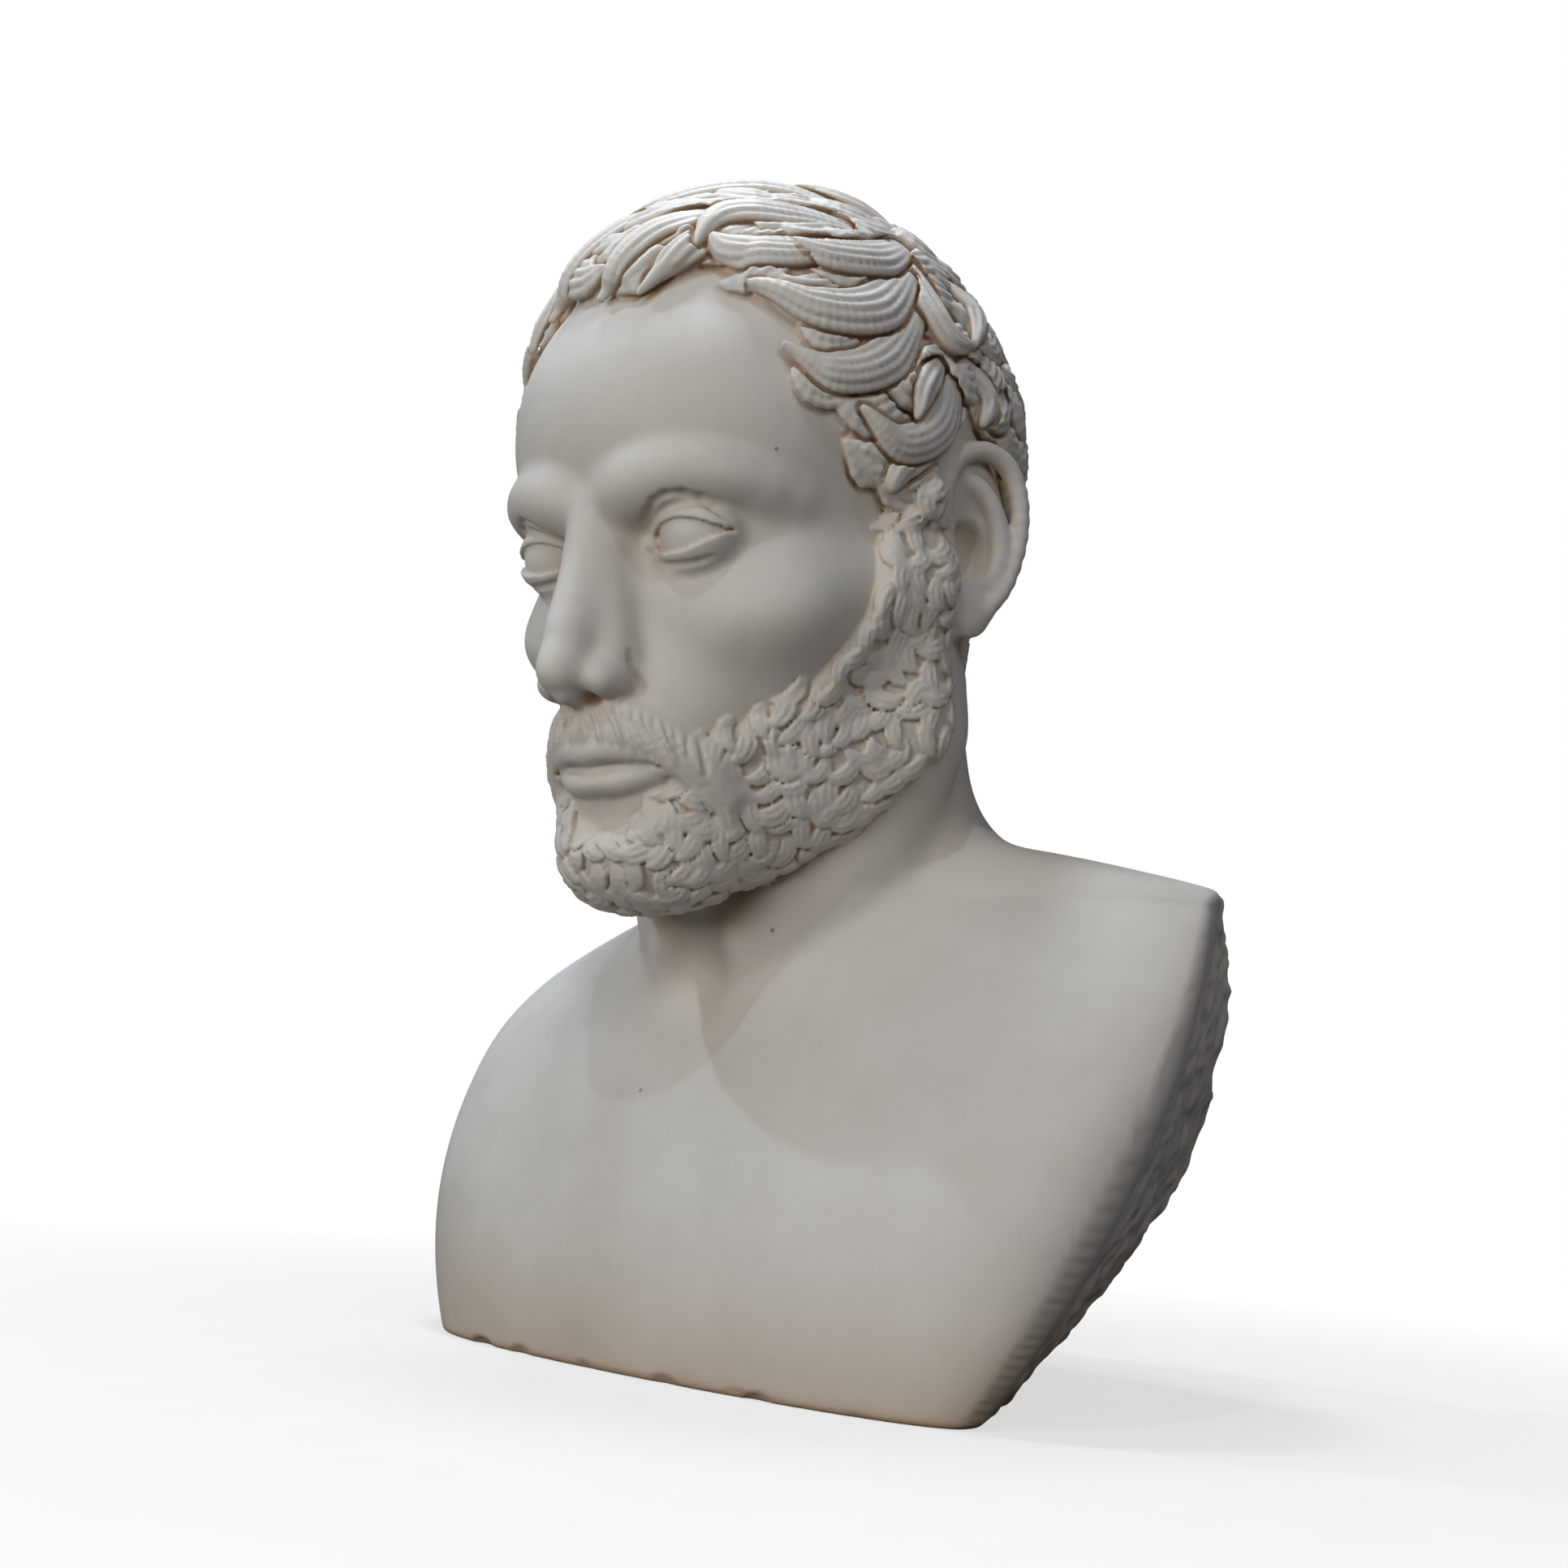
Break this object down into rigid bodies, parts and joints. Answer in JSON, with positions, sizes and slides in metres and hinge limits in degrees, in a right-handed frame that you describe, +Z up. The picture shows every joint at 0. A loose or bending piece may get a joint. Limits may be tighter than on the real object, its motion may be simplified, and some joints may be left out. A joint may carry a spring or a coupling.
{
  "type": "marble portrait bust",
  "caption": "Life-size stone bust of a bearded, curly-haired man with bare shoulders: a head block socketed into a flat-bottomed chest block with a threaded fixing sleeve underneath.",
  "frame": {"origin": "middle of the flat underside, on the axis of the fixing sleeve", "axes": "+Z up, -Y the way the chest faces, +X the bust's own left"},
  "size_m": [0.3046, 0.2409, 0.4038],
  "materials": {
    "marble": "satin",
    "mortar": "matte",
    "resin": "satin",
    "stainless": "satin"
  },
  "bodies": {
    "root": {"head_block": "marble", "chest_block": "marble", "joint_bedding": "mortar", "neck_dowel": "stainless", "dowel_resin": "resin", "base_sleeve": "stainless", "sleeve_resin": "resin"}
  },
  "joints": []
}
